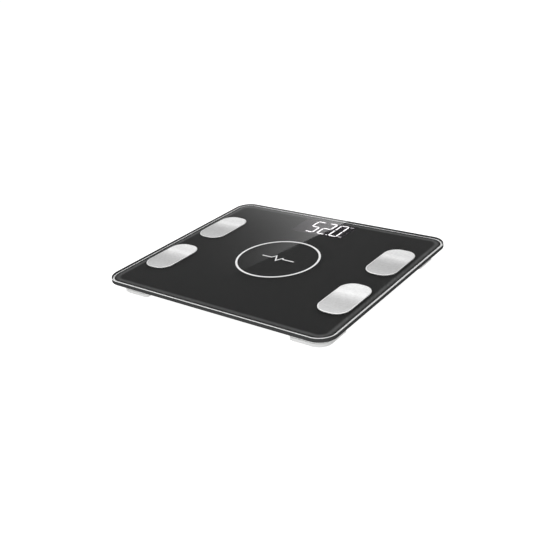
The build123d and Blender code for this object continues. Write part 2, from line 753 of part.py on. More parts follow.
def make_battery(index):
    toward = battery_direction(index)
    tip_x = toward * (BAY_HALF_LENGTH - CONTACT_THICKNESS)
    tip = Plane((tip_x, BATTERY_YS[index], BATTERY_Z), x_dir=(0, 1, 0), z_dir=(-toward, 0, 0))
    with BuildPart() as battery:
        with BuildSketch(tip):
            Circle(BATTERY_NUB_RADIUS)
        extrude(amount=BATTERY_NUB)
        with BuildSketch(tip.offset(BATTERY_NUB)):
            Circle(BATTERY_RADIUS)
        extrude(amount=BATTERY_LENGTH - BATTERY_NUB)
        rims = battery.edges().filter_by(lambda e: e.length > 6 * BATTERY_RADIUS)
        fillet(rims, BATTERY_EDGE)
    save(battery, f"battery_{index + 1}")


def contact_plane(index, side):
    """A plane on the bay's end wall behind one cell, looking into the bay."""
    return Plane(
        (side * BAY_HALF_LENGTH, BATTERY_YS[index], BATTERY_Z), x_dir=(0, 1, 0), z_dir=(-side, 0, 0)
    )


def make_battery_contacts():
    """Plated strips on the bay's end walls: two link neighbours, and two have solder tabs."""
    with BuildPart() as contacts:
        for index in range(CELL_COUNT):
            for side in (-1, 1):
                with BuildSketch(contact_plane(index, side)):
                    Rectangle(CONTACT_SIZE, CONTACT_SIZE)
                extrude(amount=CONTACT_THICKNESS)
        for side, first in ((-1, 0), (1, 1)):
            with BuildSketch(contact_plane(first, side)):
                with Locations((BATTERY_PITCH / 2, 0)):
                    Rectangle(BATTERY_PITCH, CONTACT_SIZE / 2)
            extrude(amount=CONTACT_THICKNESS)
        for side, index in ((-1, 2), (1, 0)):
            with BuildSketch(contact_plane(index, side)):
                Rectangle(TAB_WIDTH, CONTACT_THICKNESS)
            extrude(amount=-BAY_WALL - TAB_REACH)
    save(contacts, "battery_contacts")


def make_battery_springs():
    """One tapered spring at each cell's negative end, as a thin cup of the coil's outline."""
    with BuildPart() as springs:
        for index in range(CELL_COUNT):
            side = -battery_direction(index)
            wall = contact_plane(index, side)
            with BuildSketch(wall.offset(CONTACT_THICKNESS)):
                Circle(SPRING_RADIUS)
                Circle(SPRING_RADIUS - SPRING_WIRE, mode=Mode.SUBTRACT)
            extrude(amount=SPRING_LENGTH, taper=SPRING_TAPER)
    save(springs, "battery_springs")


def make_battery_leads():
    """The two wires that run from the bay's solder tabs to the edge of the board."""
    with BuildPart() as leads:
        for side, index in ((-1, 2), (1, 0)):
            lead_x = side * (BAY_HALF_LENGTH + BAY_WALL + TAB_REACH / 2)
            start = (lead_x, BATTERY_YS[index] + TAB_WIDTH / 2, BATTERY_Z)
            with BuildSketch(Plane(start, z_dir=(0, 1, 0))):
                Circle(STRAND_RADIUS)
            extrude(amount=BOARD_FRONT - start[1])
    save(leads, "battery_leads")


# ---- circuit board ---------------------------------------------------------------------------------

def make_main_board():
    with BuildPart() as board:
        with BuildSketch(Plane((0, (BOARD_FRONT + BOARD_BACK) / 2, BOARD_BOTTOM))):
            RectangleRounded(BOARD_WIDTH, BOARD_BACK - BOARD_FRONT, BOARD_CORNER)
        extrude(amount=BOARD_THICKNESS)
        with Locations(*[(x, y, BOARD_TOP) for x, y in SCREW_POINTS]):
            Hole(SCREW_RADIUS + BOARD_HOLE_GAP, BOARD_THICKNESS)
    save(board, "main_board")


def make_board_screws():
    with BuildPart() as board_screws:
        with BuildSketch(Plane.XY.offset(BOARD_TOP)):
            with Locations(*SCREW_POINTS):
                Circle(SCREW_HEAD_RADIUS)
        extrude(amount=SCREW_HEAD)
        fillet(board_screws.edges().group_by(Axis.Z)[-1], SCREW_EDGE)
        with BuildSketch(Plane.XY.offset(BOARD_TOP + SCREW_HEAD)):
            with Locations(*SCREW_POINTS):
                Rectangle(*SCREW_SLOT)
                Rectangle(*SCREW_SLOT, rotation=90)
        extrude(amount=-SCREW_SLOT_DEPTH, mode=Mode.SUBTRACT)
        with BuildSketch(Plane.XY.offset(BOARD_TOP)):
            with Locations(*SCREW_POINTS):
                Circle(SCREW_RADIUS)
        extrude(amount=PILOT_SPARE - SCREW_LENGTH)
    save(board_screws, "board_screws")


def make_wire_connectors():
    """One upright connector at each end of the board, open at its outer face."""
    middle_y = (CONNECTOR_FRONT + CONNECTOR_BACK) / 2
    with BuildPart() as connectors:
        for side in (-1, 1):
            centre_x = side * (BOARD_WIDTH - CONNECTOR_WIDTH) / 2
            with BuildSketch(Plane((centre_x, middle_y, BOARD_TOP))):
                Rectangle(CONNECTOR_WIDTH, CONNECTOR_BACK - CONNECTOR_FRONT)
            extrude(amount=CONNECTOR_HEIGHT)
        chamfer(connectors.edges().group_by(Axis.Z)[-1], CONNECTOR_EDGE)
    save(connectors, "wire_connectors")


def make_controller_chip():
    """A flat square package with leads on all four sides, under the board."""
    lead_span = CHIP_SIZE + 2 * LEAD_REACH
    with BuildPart() as chip:
        with BuildSketch(Plane((*CHIP_POINT, BOARD_BOTTOM - LEAD_THICKNESS / 2))):
            Rectangle(CHIP_SIZE, CHIP_SIZE)
        extrude(amount=-CHIP_HEIGHT)
        with BuildSketch(Plane((*CHIP_POINT, BOARD_BOTTOM))):
            with GridLocations(LEAD_PITCH, 0, CHIP_LEADS, 1):
                Rectangle(LEAD_WIDTH, lead_span)
            with GridLocations(0, LEAD_PITCH, 1, CHIP_LEADS):
                Rectangle(lead_span, LEAD_WIDTH)
        extrude(amount=-LEAD_THICKNESS)
    save(chip, "controller_chip")


def make_radio_module():
    """A small daughter board with a shield can, under the main board."""
    with BuildPart() as radio:
        with BuildSketch(Plane((*RADIO_POINT, BOARD_BOTTOM))):
            Rectangle(*RADIO_SIZE)
        extrude(amount=-RADIO_BASE)
        with BuildSketch(Plane((*RADIO_POINT, BOARD_BOTTOM - RADIO_BASE))):
            with Locations((0, SHIELD_SHIFT)):
                RectangleRounded(*SHIELD_SIZE, SHIELD_CORNER)
        extrude(amount=-SHIELD_HEIGHT)
    save(radio, "radio_module")


def make_unit_switch():
    with BuildPart() as switch:
        with BuildSketch(Plane((BUTTON_X, BUTTON_Y, BOARD_BOTTOM))):
            Rectangle(SWITCH_SIZE, SWITCH_SIZE)
        extrude(amount=-SWITCH_BODY)
        with BuildSketch(Plane((BUTTON_X, BUTTON_Y, BOARD_BOTTOM - SWITCH_BODY))):
            Circle(PLUNGER_RADIUS)
        extrude(amount=-SWITCH_PLUNGER)
    save(switch, "unit_switch")


def make_unit_button():
    with BuildPart() as button:
        with BuildSketch(Plane((BUTTON_X, BUTTON_Y, TRAY_BOTTOM + BUTTON_RECESS))):
            Circle(BUTTON_RADIUS)
        extrude(amount=TRAY_FLOOR_TOP - TRAY_BOTTOM)
        fillet(button.edges().group_by(Axis.Z)[0], BUTTON_EDGE)
        with BuildSketch(Plane((BUTTON_X, BUTTON_Y, TRAY_FLOOR_TOP + FLANGE_GAP))):
            Circle(BUTTON_FLANGE)
        extrude(amount=FLANGE_THICKNESS)
    save(button, "unit_button")


# ---- wiring ------------------------------------------------------------------------------------------

def add_strand(points):
    """One insulated wire along the given points, in the current part."""
    with BuildLine() as route:
        if len(points) > 2:
            FilletPolyline(*points, radius=WIRE_BEND)
        else:
            Line(*points)
    with BuildSketch(Plane(route.line @ 0, z_dir=route.line % 0)) as section:
        Circle(STRAND_RADIUS)
    sweep(section.sketch, path=route.line)


def duct_route(side, start_x, start_y, lane, level):
    """The corners of a wire that runs in to a duct lane, along it, and on to the connector."""
    lane_x = DUCT_X + lane
    return [
        (side * start_x, start_y, level),
        (side * lane_x, start_y, level),
        (side * lane_x, DUCT_TURN_Y + lane, level),
        (side * BOARD_WIDTH / 2, DUCT_TURN_Y + lane, level),
    ]


def make_load_cell_wires():
    """Three strands from each load cell to the board; the front ones go by the duct."""
    start_x = MODULE_X - CELL_SIZE / 2
    for corner, (side_x, side_y) in CORNERS.items():
        with BuildPart() as wires:
            for strand in (-1, 0, 1):
                if side_y < 0:
                    lane = (strand - 1) * STRAND_PITCH
                    start_y = -MODULE_Y + strand * STRAND_PITCH
                    add_strand(duct_route(side_x, start_x, start_y, lane, CELL_WIRE_Z))
                else:
                    y = MODULE_Y + strand * STRAND_PITCH
                    end_x = BOARD_WIDTH / 2
                    add_strand([(side_x * start_x, y, CELL_WIRE_Z), (side_x * end_x, y, CELL_WIRE_Z)])
        save(wires, f"load_cell_wires_{corner}")


def make_electrode_wires():
    """One strand from each electrode terminal, through the duct, to the board."""
    start_x = ELECTRODE_X - ELECTRODE_WIRE_START
    with BuildPart() as wires:
        for side_x, side_y in CORNERS.values():
            lane = STRAND_PITCH if side_y < 0 else 2 * STRAND_PITCH
            add_strand(duct_route(side_x, start_x, side_y * ELECTRODE_Y, lane, ELECTRODE_WIRE_Z))
    save(wires, "electrode_wires")


def duct_outline(inset):
    """The duct's bent band: in from the front bracket, back along the side, in to the tray."""
    half = DUCT_WIDTH / 2 - inset
    bracket_x = MODULE_X - MODULE_HALF - DUCT_END_GAP
    tray_x = TRAY_WIDTH / 2 + DUCT_END_GAP
    with BuildLine() as band:
        Polyline(
            (bracket_x, -MODULE_Y - half),
            (DUCT_X - half, -MODULE_Y - half),
            (DUCT_X - half, DUCT_TURN_Y - half),
            (tray_x, DUCT_TURN_Y - half),
            (tray_x, DUCT_TURN_Y + half),
            (DUCT_X + half, DUCT_TURN_Y + half),
            (DUCT_X + half, -MODULE_Y + half),
            (bracket_x, -MODULE_Y + half),
            close=True,
        )
    channel = make_face(band.line.edges())
    fillet(channel.vertices().filter_by(lambda v: abs(v.X - DUCT_X) < DUCT_WIDTH), WIRE_BEND)


def build_wire_duct():
    """A channel that covers the wires from below, with gates for the electrode wires."""
    hollow = PRINT_BOTTOM - DUCT_BOTTOM - DUCT_WALL
    with BuildPart() as duct:
        with BuildSketch(Plane.XY.offset(DUCT_BOTTOM)):
            duct_outline(0)
        extrude(amount=PRINT_BOTTOM - DUCT_BOTTOM)
        with BuildSketch(Plane.XY.offset(DUCT_BOTTOM + DUCT_WALL)):
            duct_outline(DUCT_WALL)
        extrude(amount=hollow, mode=Mode.SUBTRACT)
        gate_x = (DUCT_X, DUCT_X + DUCT_WIDTH)
        gate_z = ELECTRODE_WIRE_Z - STRAND_PITCH
        for side_y in (-1, 1):
            gate_y = side_y * ELECTRODE_Y
            extrude(
                box_sketch(gate_z, gate_x, (gate_y - STRAND_PITCH, gate_y + WIRE_BEND / 2)),
                amount=PRINT_BOTTOM - gate_z,
                mode=Mode.SUBTRACT,
            )
    return duct


def make_wire_ducts():
    duct = build_wire_duct()
    for side, sign in SIDES.items():
        save(place_at_corner(duct, sign, 1), f"wire_duct_{side}")


def main():
    os.makedirs("parts", exist_ok=True)
    make_glass_platform()
    make_back_print()
    make_border_stripe()
    make_printed_ring()
    make_pulse_mark()
    for corner, (side_x, side_y) in CORNERS.items():
        make_electrode(f"electrode_{corner}", side_x * ELECTRODE_X, side_y * ELECTRODE_Y)
    make_electrode_tapes()
    make_electrode_terminals()
    make_electrode_nuts()
    make_display_filter()
    make_display_reflector()
    make_segments("lit_segments", True)
    make_segments("dark_segments", False)
    make_corner_modules()
    make_bracket_tapes()
    make_electronics_tray()
    make_tray_tape()
    make_battery_door()
    for index in range(CELL_COUNT):
        make_battery(index)
    make_battery_contacts()
    make_battery_springs()
    make_battery_leads()
    make_main_board()
    make_board_screws()
    make_wire_connectors()
    make_controller_chip()
    make_radio_module()
    make_unit_switch()
    make_unit_button()
    make_load_cell_wires()
    make_electrode_wires()
    make_wire_ducts()


main()
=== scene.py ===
"""Looks of the digital bathroom scale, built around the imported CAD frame. Metres, +Z up."""

import bmesh
import bpy
import json
from math import cos, pi, radians, sin
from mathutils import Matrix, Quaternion, Vector


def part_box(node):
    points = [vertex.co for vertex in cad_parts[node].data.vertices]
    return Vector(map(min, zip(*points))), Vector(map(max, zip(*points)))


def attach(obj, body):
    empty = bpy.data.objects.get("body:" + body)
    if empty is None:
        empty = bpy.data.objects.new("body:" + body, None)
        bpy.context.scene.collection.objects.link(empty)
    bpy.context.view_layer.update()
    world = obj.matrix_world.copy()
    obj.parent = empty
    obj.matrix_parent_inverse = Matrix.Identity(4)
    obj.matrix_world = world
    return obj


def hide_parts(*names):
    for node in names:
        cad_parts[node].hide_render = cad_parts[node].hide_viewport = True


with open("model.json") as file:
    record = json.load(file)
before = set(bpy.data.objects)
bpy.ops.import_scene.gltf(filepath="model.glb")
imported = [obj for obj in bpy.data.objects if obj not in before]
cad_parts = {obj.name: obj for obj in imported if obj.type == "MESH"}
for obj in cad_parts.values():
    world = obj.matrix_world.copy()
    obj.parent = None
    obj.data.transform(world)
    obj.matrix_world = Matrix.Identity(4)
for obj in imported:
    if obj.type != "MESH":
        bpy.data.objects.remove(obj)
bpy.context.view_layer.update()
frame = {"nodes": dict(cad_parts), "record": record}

MM = 0.001
X, Y, Z = range(3)
CORNERS = ("front_left", "front_right", "back_left", "back_right")
GLASS_LOW, GLASS_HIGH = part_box("glass_platform")
GLASS_TOP = GLASS_HIGH.z
PLATFORM_CORNER = 19.5 * MM
MATERIALS = {}


# ---- node helpers ----------------------------------------------------------------------------
# A value that goes into a node is another node's output, a number, a vector or an RGB colour.

# Nearly all of a noise texture's values lie between these two.
NOISE_LOW = 0.3
NOISE_HIGH = 0.7


def feed(tree, socket, value):
    """Link an output to an input socket, or set the socket to a constant."""
    if hasattr(value, "links"):
        tree.links.new(value, socket)
    elif socket.type == "RGBA":
        socket.default_value = (*value, 1)
    else:
        socket.default_value = value


def add_node(tree, kind, inputs, **settings):
    """A new node, with its settings made and its inputs fed by name or number."""
    node = tree.nodes.new(f"ShaderNode{kind}")
    for name, value in settings.items():
        setattr(node, name, value)
    for name, value in inputs.items():
        feed(tree, node.inputs[name], value)
    return node


def shader(tree, kind, inputs):
    return add_node(tree, kind, inputs).outputs[0]


def principled(tree, inputs):
    return shader(tree, "BsdfPrincipled", inputs)


def mixed(tree, share, first, second):
    """One shader turning into another as the share goes from 0 to 1."""
    return shader(tree, "MixShader", {0: share, 1: first, 2: second})


def added(tree, first, second):
    return shader(tree, "AddShader", {0: first, 1: second})


def given(tree, kind, output):
    """One of the facts that the renderer gives about the point that it shades."""
    return add_node(tree, kind, {}).outputs[output]


def object_place(tree):
    return given(tree, "TexCoord", "Object")


def part_of(tree, vector, axis):
    return add_node(tree, "SeparateXYZ", {0: vector}).outputs[axis]


def computed(tree, operation, *values):
    return add_node(tree, "Math", dict(enumerate(values)), operation=operation).outputs[0]


def ranged(tree, value, low, high, new_low, new_high):
    """A value moved from one range to another, and held inside it."""
    inputs = {"Value": value, "From Min": low, "From Max": high, "To Min": new_low, "To Max": new_high}
    return add_node(tree, "MapRange", inputs).outputs[0]


def uneven(tree, texture, low, high):
    """A level that wanders between two with a noise texture."""
    return ranged(tree, texture, NOISE_LOW, NOISE_HIGH, low, high)


def by_ray(tree, cast, seen):
    """One level for the camera's own rays, and another for all other rays."""
    return ranged(tree, given(tree, "LightPath", "Is Camera Ray"), 0, 1, cast, seen)


def grey(level):
    return level, level, level


def between(tree, share, low, high, blend="MIX"):
    """A colour between two by a share from 0 to 1, or the second laid over the first by a blend."""
    inputs = {0: share, 6: low, 7: high}
    return add_node(tree, "Mix", inputs, data_type="RGBA", blend_type=blend).outputs[2]


def ramp(tree, value, stops, interpolation):
    """A colour that follows a value through stops, each a place and a colour."""
    node = add_node(tree, "ValToRGB", {0: value})
    node.color_ramp.interpolation = interpolation
    elements = node.color_ramp.elements
    for index, (at, colour) in enumerate(stops):
        stop = elements[0] if index == 0 else elements.new(at)
        stop.position = at
        stop.color = (*colour, 1)
    elements.remove(elements[-1])
    return node.outputs[0]


def stretched(tree, place, scale):
    return add_node(tree, "Mapping", {"Vector": place, "Scale": scale}).outputs[0]


def noise(tree, place, scale, detail, rough=0.5):
    inputs = {"Vector": place, "Scale": scale, "Detail": detail, "Roughness": rough}
    return add_node(tree, "TexNoise", inputs).outputs[0]


def bump(tree, height, distance, strength=1.0):
    inputs = {"Height": height, "Distance": distance, "Strength": strength}
    return add_node(tree, "Bump", inputs).outputs[0]


def new_material(name):
    """The empty node tree of a new material, which is kept in MATERIALS."""
    material = bpy.data.materials.new(name)
    material.use_nodes = True
    material.node_tree.nodes.clear()
    MATERIALS[name] = material
    return material.node_tree


def show(tree, surface, output="OutputMaterial"):
    """Make a shader the surface of its material or world."""
    add_node(tree, output, {"Surface": surface})


# ---- camera, light and stage -------------------------------------------------------------------

CAMERA_AZIMUTH = radians(38.21)
CAMERA_ELEVATION = radians(24.37)
CAMERA_DISTANCE = 0.9044
CAMERA_PIVOT = Vector((-0.0014, 0.0014, GLASS_TOP))
CAMERA_AIM = Vector((0.0100, -0.0288, GLASS_TOP))
CAMERA_ROLL = radians(-5.55)
CAMERA_LENS = 52.68
CAMERA_NEAREST = 0.01
WORLD_LEVEL = 0.11
WORLD_LEVEL_SEEN = 1.2
FLOOR_SIZE = 12.0
FLOOR_DROP = 0.2 * MM
FLOOR_PAINT = grey(0.3)
FLOOR_GLOW_CAST = 0.72
FLOOR_GLOW_SEEN = 1.0

SOFTBOX_AIM = Vector((0, 0, 0))
# Each softbox's name, place, size and power, and whether glossy surfaces mirror it.
SOFTBOXES = (
    ("overhead_softbox", (0, 0, 1.9), (3.2, 3.2), 34, True),
    ("back_softbox", (-1.12, 1.06, 1.80), (1.65, 1.05), 16, True),
    ("front_fill", (0.4, -1.7, 0.35), (1.4, 0.6), 11, False),
)


def link_object(name, data):
    """A new object in the scene."""
    made = bpy.data.objects.new(name, data)
    bpy.context.scene.collection.objects.link(made)
    return made


def camera_place():
    """Where the camera stands, round a point in the middle of the glass."""
    level = CAMERA_DISTANCE * cos(CAMERA_ELEVATION)
    rise = CAMERA_DISTANCE * sin(CAMERA_ELEVATION)
    return CAMERA_PIVOT + Vector((level * sin(CAMERA_AZIMUTH), -level * cos(CAMERA_AZIMUTH), rise))


def make_camera():
    data = bpy.data.cameras.new("camera")
    data.lens = CAMERA_LENS
    data.clip_start = CAMERA_NEAREST
    camera = link_object("camera", data)
    camera.location = camera_place()
    look = CAMERA_AIM - camera.location
    roll = Quaternion((0, 0, 1), CAMERA_ROLL)
    camera.rotation_mode = "QUATERNION"
    camera.rotation_quaternion = look.to_track_quat("-Z", "Y") @ roll
    bpy.context.scene.camera = camera


def make_world():
    """A dim even surround, which the glass mirrors where no lamp stands. It looks as pale as the floor."""
    world = bpy.data.worlds.new("studio")
    bpy.context.scene.world = world
    world.use_nodes = True
    tree = world.node_tree
    tree.nodes.clear()
    strength = by_ray(tree, WORLD_LEVEL, WORLD_LEVEL_SEEN)
    show(tree, shader(tree, "Background", {"Color": grey(1), "Strength": strength}), "OutputWorld")


def make_softboxes():
    for name, place, size, power, mirrored in SOFTBOXES:
        data = bpy.data.lights.new(name, "AREA")
        data.shape = "RECTANGLE"
        data.size, data.size_y = size
        data.energy = power
        softbox = link_object(name, data)
        softbox.location = place
        softbox.rotation_mode = "QUATERNION"
        softbox.rotation_quaternion = (SOFTBOX_AIM - Vector(place)).to_track_quat("-Z", "Y")
        softbox.visible_glossy = mirrored


def make_floor():
    """A plain pale floor with a slight glow that keeps its shadows faint. From below it isn't there."""
    tree = new_material("pale_floor")
    paint = shader(tree, "BsdfDiffuse", {"Color": FLOOR_PAINT})
    glow = shader(tree, "Emission", {"Strength": by_ray(tree, FLOOR_GLOW_CAST, FLOOR_GLOW_SEEN)})
    from_below = given(tree, "NewGeometry", "Backfacing")
    clear = shader(tree, "BsdfTransparent", {})
    show(tree, mixed(tree, from_below, added(tree, paint, glow), clear))
    bpy.ops.mesh.primitive_plane_add(size=FLOOR_SIZE, location=(0, 0, -FLOOR_DROP))
    floor = bpy.context.object
    floor.name = "floor"
    floor.data.materials.append(MATERIALS["pale_floor"])


# The card whose reflection lies across the left of the glass. Its near edge is straight, and it
# stands where the camera's view, mirrored by the glass, meets a wall behind the scale.
CARD_DISTANCE = 1.5
CARD_EDGE_BACK = Vector((0.013, 0.120, GLASS_TOP))
CARD_EDGE_FRONT = Vector((-0.024, -0.075, GLASS_TOP))
CARD_LEFT_BACK = Vector((-0.150, 0.120, GLASS_TOP))
# How far the card goes, in shares of the way from front to back and from its edge to the left.
CARD_FRONT = -0.5
CARD_BACK = 1.6
CARD_LEFT = 2.2
# It is brightest at its edge at the back, and fades towards the left and the front.
CARD_LEVEL = 1.37
CARD_RISE_POWER = 1.85
CARD_FADE_BACK = 1.6
CARD_FADE_FRONT = 5.6


def on_card(point):
    """Where the card's wall is met by the camera's ray that the glass mirrors at this point."""
    camera = camera_place()
    mirrored = Vector((camera.x, camera.y, 2 * GLASS_TOP - camera.z))
    toward = Vector((-sin(CAMERA_AZIMUTH), cos(CAMERA_AZIMUTH), 0))
    ray = point - mirrored
    share = (CARD_DISTANCE - mirrored.dot(toward)) / ray.dot(toward)
    return mirrored + ray * share


def reflection_card():
    """A glow on a card that is clear in itself, so it adds to what lies behind it."""
    tree = new_material("reflection_card")
    place = add_node(tree, "UVMap", {}, uv_map="card").outputs[0]
    away = computed(tree, "MAXIMUM", part_of(tree, place, X), 0.0)
    height = ranged(tree, part_of(tree, place, Y), 0.0, 1.0, 0.0, 1.0)
    rise = computed(tree, "POWER", height, CARD_RISE_POWER)
    fading = ranged(tree, height, 0.0, 1.0, -CARD_FADE_FRONT, -CARD_FADE_BACK)
    fade = computed(tree, "EXPONENT", computed(tree, "MULTIPLY", away, fading))
    level = computed(tree, "MULTIPLY", computed(tree, "MULTIPLY", fade, rise), CARD_LEVEL)
    glow = shader(tree, "Emission", {"Strength": level})
    show(tree, added(tree, glow, shader(tree, "BsdfTransparent", {})))


def make_reflection_card():
    """The card, seen only in reflections. Its UV map gives the shares to the left and to the back."""
    top, bottom, left = on_card(CARD_EDGE_BACK), on_card(CARD_EDGE_FRONT), on_card(CARD_LEFT_BACK)
    shares = ((0.0, CARD_FRONT), (0.0, CARD_BACK), (CARD_LEFT, CARD_BACK), (CARD_LEFT, CARD_FRONT))
    corners = [bottom + (left - top) * to_left + (top - bottom) * to_back for to_left, to_back in shares]
    mesh = bpy.data.meshes.new("reflection_card")
    mesh.from_pydata(corners, [], [(0, 1, 2, 3)])
    uv = mesh.uv_layers.new(name="card")
    for loop in mesh.loops:
        uv.data[loop.index].uv = shares[loop.vertex_index]
    card = link_object("reflection_card", mesh)
    card.visible_camera = False
    card.visible_diffuse = False
    card.visible_shadow = False
    reflection_card()
    mesh.materials.append(MATERIALS["reflection_card"])


# ---- materials ---------------------------------------------------------------------------------

GLOSS_WANDER = 0.06


def moulded_surface(tree, dark, light, roughness, grain=900, depth=0.04 * MM):
    """Plastic from a spark-eroded mould: fine grain, and slightly uneven colour and gloss."""
    place = object_place(tree)
    cloud = noise(tree, place, scale=35, detail=4)
    fine = noise(tree, place, scale=grain, detail=2)
    return principled(tree, {
        "Base Color": between(tree, cloud, dark, light),
        "Roughness": uneven(tree, fine, roughness - GLOSS_WANDER, roughness + GLOSS_WANDER),
        "Normal": bump(tree, fine, depth),
    })


def moulded_plastic(name, *looks, **grain):
    """A material that is a moulded surface all over."""
    tree = new_material(name)
    show(tree, moulded_surface(tree, *looks, **grain))


def clear_glass():
    """Clear glass that lets lamps through to the ink beneath it."""
    tree = new_material("clear_glass")
    smudge = noise(tree, object_place(tree), scale=28, detail=5)
    glass = principled(tree, {
        "Base Color": (0.985, 0.99, 0.988),
        "Transmission Weight": 1.0,
        "IOR": 1.5,
        "Roughness": ranged(tree, smudge, 0.35, 0.8, 0.0, 0.035),
    })
    clear = shader(tree, "BsdfTransparent", {"Color": (0.92, 0.93, 0.93)})
    show(tree, mixed(tree, given(tree, "LightPath", "Is Shadow Ray"), glass, clear))


# How much faster the pattern runs along X, Y and Z.
EDGE_STREAKS = (1, 1, 6)


def ground_edge():
    """The platform's ground side faces, dark because they look into the ink."""
    tree = new_material("ground_edge")
    streak = noise(tree, stretched(tree, object_place(tree), EDGE_STREAKS), scale=700, detail=3)
    show(tree, principled(tree, {
        "Base Color": between(tree, streak, (0.045, 0.046, 0.046), (0.068, 0.069, 0.069)),
        "Roughness": uneven(tree, streak, 0.3, 0.45),
        "Specular IOR Level": 0.0,
        "Normal": bump(tree, streak, 0.02 * MM, strength=0.4),
    }))


def frosted_arris_highlight():
    """The bevel above the side faces: ground white, partly a painted highlight, but dark when seen from
    inside the glass.
    """
    tree = new_material("frosted_arris_highlight")
    # Painted highlight: the white stands partly for the bright surroundings that the bevel reflects.
    outside = moulded_surface(tree, grey(0.90), grey(0.96), roughness=0.35, grain=1500)
    inside = shader(tree, "BsdfDiffuse", {"Color": grey(0.01)})
    show(tree, mixed(tree, given(tree, "NewGeometry", "Backfacing"), outside, inside))


# Where the painted reflection runs round inside the platform's edge.
REFLECTION_BAND_INSET = 8.0 * MM
REFLECTION_BAND_HALF_WIDTH = 3.4 * MM
REFLECTION_BAND_CORE_HALF_WIDTH = 0.6 * MM


def edge_distance(tree):
    """How far a point lies inside the platform's rounded edge, as a node output."""
    place = object_place(tree)
    beyond = []
    for axis in (X, Y):
        reach = computed(tree, "ABSOLUTE", part_of(tree, place, axis))
        beyond.append(computed(tree, "SUBTRACT", reach, GLASS_HIGH[axis] - PLATFORM_CORNER))
    outer = [computed(tree, "MAXIMUM", value, 0.0) for value in beyond]
    squares = [computed(tree, "MULTIPLY", value, value) for value in outer]
    rounded = computed(tree, "SQRT", computed(tree, "ADD", *squares))
    inner = computed(tree, "MINIMUM", computed(tree, "MAXIMUM", *beyond), 0.0)
    return computed(tree, "SUBTRACT", PLATFORM_CORNER, computed(tree, "ADD", rounded, inner))


def black_ink():
    """Black ink with a painted reflection: a soft dark grey strip that runs round inside the platform's
    edge, on the faces that look up into the glass.
    """
    tree = new_material("black_ink")
    off_reflection_strip = computed(tree, "ABSOLUTE", computed(tree, "SUBTRACT", edge_distance(tree), REFLECTION_BAND_INSET))
    in_reflection_strip = ranged(tree, off_reflection_strip, REFLECTION_BAND_HALF_WIDTH, REFLECTION_BAND_CORE_HALF_WIDTH, 0.0, 1.0)
    upward = part_of(tree, given(tree, "NewGeometry", "Normal"), Z)
    under_glass = computed(tree, "GREATER_THAN", upward, 0.5)
    # Painted reflection: a lighter grey strip, only on faces that look up into the glass.
    painted_reflection_strip = computed(tree, "MULTIPLY", in_reflection_strip, under_glass)
    speck = noise(tree, object_place(tree), scale=600, detail=2)
    show(tree, principled(tree, {
        "Base Color": between(tree, painted_reflection_strip, grey(0.0245), grey(0.100)),
        "Roughness": uneven(tree, speck, 0.45, 0.6),
        "Specular IOR Level": 0.0,
    }))


def silver_ink(name, dark, light, metallic):
    """Silver ink with fine flakes in it."""
    tree = new_material(name)
    flake = noise(tree, object_place(tree), scale=2500, detail=2)
    show(tree, principled(tree, {
        "Base Color": between(tree, flake, dark, light),
        "Metallic": metallic,
        "Roughness": uneven(tree, flake, 0.4, 0.6),
    }))


# Painted sheen: how light the plates' colour is painted along their length, from the front end to the back
# end.
PAINTED_SHEEN = (
    (0.0, grey(0.64)),
    (0.24, grey(0.54)),
    (0.386, grey(0.555)),
    (0.5, grey(0.63)),
    (0.614, grey(0.83)),
    (0.68, grey(1.0)),
    (0.80, grey(0.81)),
    (1.0, grey(0.80)),
)
PAINTED_SHEEN_WANDER = 0.05
PATCH_CONTRAST = 0.9
BRUSHED_ALONG_X = (0.03, 1, 1)


def centred_noise(tree, place, scale, spread):
    """A noise of two octaves about zero, times a spread."""
    centred = computed(tree, "SUBTRACT", noise(tree, place, scale, detail=2), 0.5)
    return computed(tree, "MULTIPLY", centred, spread)


def brushed_electrode():
    """Satin steel brushed across the plate, with a painted sheen of soft light stripes along its length in
    its colour.
    """
    tree = new_material("brushed_electrode")
    place = object_place(tree)
    along = part_of(tree, given(tree, "TexCoord", "Generated"), Y)
    wander = centred_noise(tree, place, scale=60, spread=PAINTED_SHEEN_WANDER)
    # Painted sheen: lighter and darker stripes painted into the plate's colour along its length.
    painted_sheen_stripes = ramp(tree, computed(tree, "ADD", along, wander), PAINTED_SHEEN, "B_SPLINE")
    streaks = noise(tree, stretched(tree, place, BRUSHED_ALONG_X), scale=2600, detail=3, rough=0.7)
    grain = noise(tree, place, scale=1700, detail=2)
    halves = [computed(tree, "MULTIPLY", texture, 0.5) for texture in (streaks, grain)]
    mottle = computed(tree, "ADD", *halves)
    patches = centred_noise(tree, place, scale=420, spread=PATCH_CONTRAST)
    shade = uneven(tree, computed(tree, "ADD", mottle, patches), 0.90, 1.04)
    show(tree, principled(tree, {
        "Base Color": between(tree, 1.0, painted_sheen_stripes, shade, "MULTIPLY"),
        "Metallic": 0.6,
        "Roughness": uneven(tree, mottle, 0.38, 0.52),
        "Normal": bump(tree, streaks, 0.01 * MM, strength=0.5),
    }))


def electrode_rim():
    """The plate's rolled rim, painted brighter than the brushed middle as a painted highlight."""
    tree = new_material("electrode_rim")
    rim_noise = noise(tree, object_place(tree), scale=900, detail=3)
    show(tree, principled(tree, {
        # Painted highlight: the rim's light colours stand in for the light that its rounded edge catches.
        "Base Color": between(tree, rim_noise, (0.84, 0.84, 0.84), (0.97, 0.97, 0.96)),
        "Metallic": 0.5,
        "Roughness": uneven(tree, rim_noise, 0.30, 0.44),
        "Normal": bump(tree, rim_noise, 0.01 * MM, strength=0.4),
    }))


PATCH_SHADE = 0.8
PATCH_GLOSS_SPREAD = 0.3


